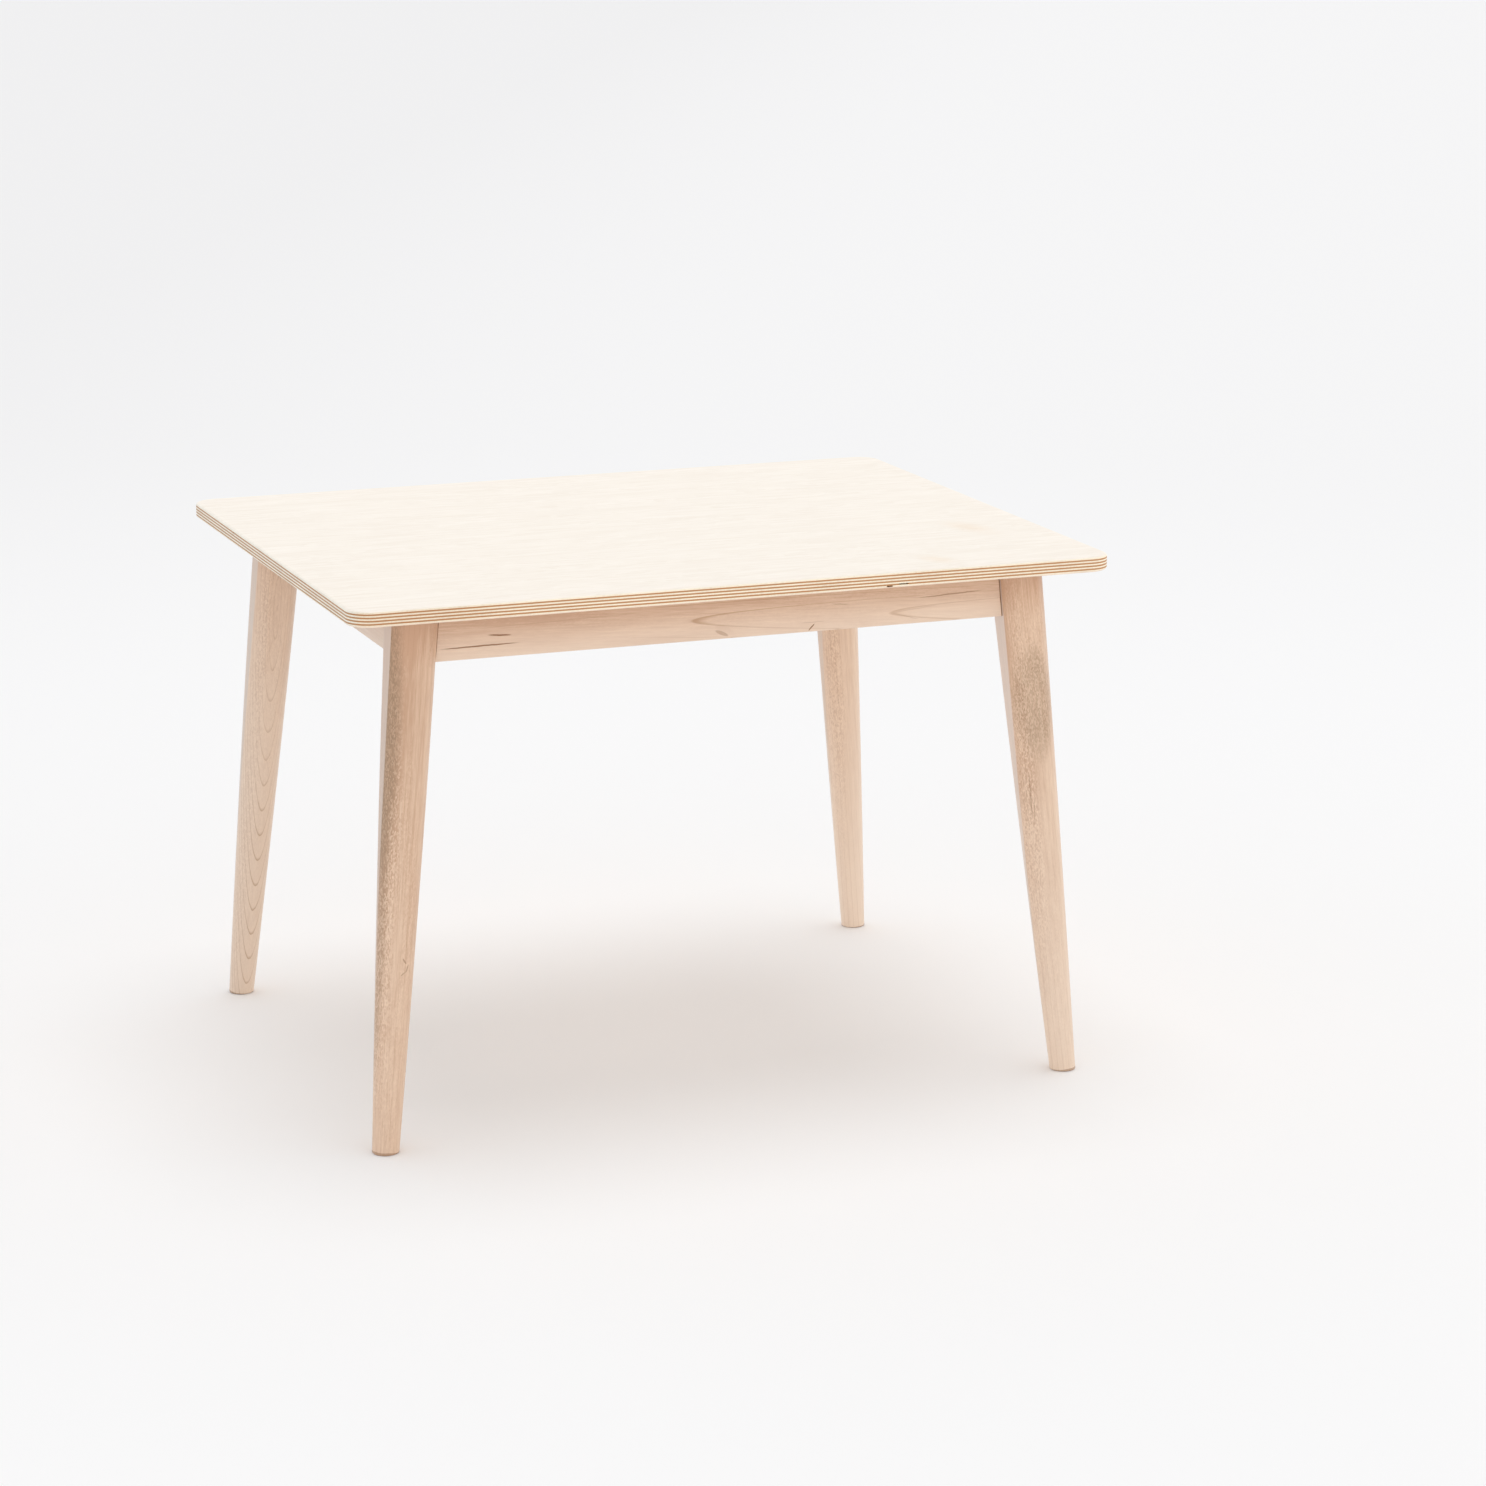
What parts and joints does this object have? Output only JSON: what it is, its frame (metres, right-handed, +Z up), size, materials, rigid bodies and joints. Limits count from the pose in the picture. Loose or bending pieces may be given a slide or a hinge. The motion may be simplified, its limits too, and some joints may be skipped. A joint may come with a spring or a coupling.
{
  "type": "children's table",
  "caption": "Low children's play table: a plywood top with rounded corners on splayed, tapered solid wood legs joined by aprons and steel corner brackets.",
  "frame": {"origin": "on the floor, under the centre of the top", "axes": "+X along the length of the top, +Z up, and the front faces -Y"},
  "size_m": [0.737, 0.587, 0.508],
  "materials": {
    "birch_plywood": "clear matt lacquer over a pale birch face, with the plies left showing at the edge",
    "maple": "clear satin lacquer on pale hard maple with fine grain and ray fleck",
    "zinc_plated_steel": "bright zinc plate, slightly dull",
    "bright_steel": "plain bright steel"
  },
  "bodies": {
    "root": {"tabletop": "birch_plywood", "apron_front": "maple", "apron_back": "maple", "apron_left": "maple", "apron_right": "maple", "leg_front_left": "maple", "leg_front_right": "maple", "leg_back_left": "maple", "leg_back_right": "maple", "corner_bracket_front_left": "zinc_plated_steel", "corner_bracket_front_right": "zinc_plated_steel", "corner_bracket_back_left": "zinc_plated_steel", "corner_bracket_back_right": "zinc_plated_steel", "hanger_bolt_front_left": "bright_steel", "hanger_bolt_front_right": "bright_steel", "hanger_bolt_back_left": "bright_steel", "hanger_bolt_back_right": "bright_steel", "washer_front_left": "bright_steel", "washer_front_right": "bright_steel", "washer_back_left": "bright_steel", "washer_back_right": "bright_steel", "nut_front_left": "bright_steel", "nut_front_right": "bright_steel", "nut_back_left": "bright_steel", "nut_back_right": "bright_steel", "bracket_screw_front_left_long_upper": "zinc_plated_steel", "bracket_screw_front_left_long_lower": "zinc_plated_steel", "bracket_screw_front_left_short_upper": "zinc_plated_steel", "bracket_screw_front_left_short_lower": "zinc_plated_steel", "bracket_screw_front_right_long_upper": "zinc_plated_steel", "bracket_screw_front_right_long_lower": "zinc_plated_steel", "bracket_screw_front_right_short_upper": "zinc_plated_steel", "bracket_screw_front_right_short_lower": "zinc_plated_steel", "bracket_screw_back_left_long_upper": "zinc_plated_steel", "bracket_screw_back_left_long_lower": "zinc_plated_steel", "bracket_screw_back_left_short_upper": "zinc_plated_steel", "bracket_screw_back_left_short_lower": "zinc_plated_steel", "bracket_screw_back_right_long_upper": "zinc_plated_steel", "bracket_screw_back_right_long_lower": "zinc_plated_steel", "bracket_screw_back_right_short_upper": "zinc_plated_steel", "bracket_screw_back_right_short_lower": "zinc_plated_steel", "top_screw_front_left": "zinc_plated_steel", "top_screw_front_right": "zinc_plated_steel", "top_screw_back_left": "zinc_plated_steel", "top_screw_back_right": "zinc_plated_steel", "top_screw_left_front": "zinc_plated_steel", "top_screw_left_back": "zinc_plated_steel", "top_screw_right_front": "zinc_plated_steel", "top_screw_right_back": "zinc_plated_steel"}
  },
  "joints": []
}
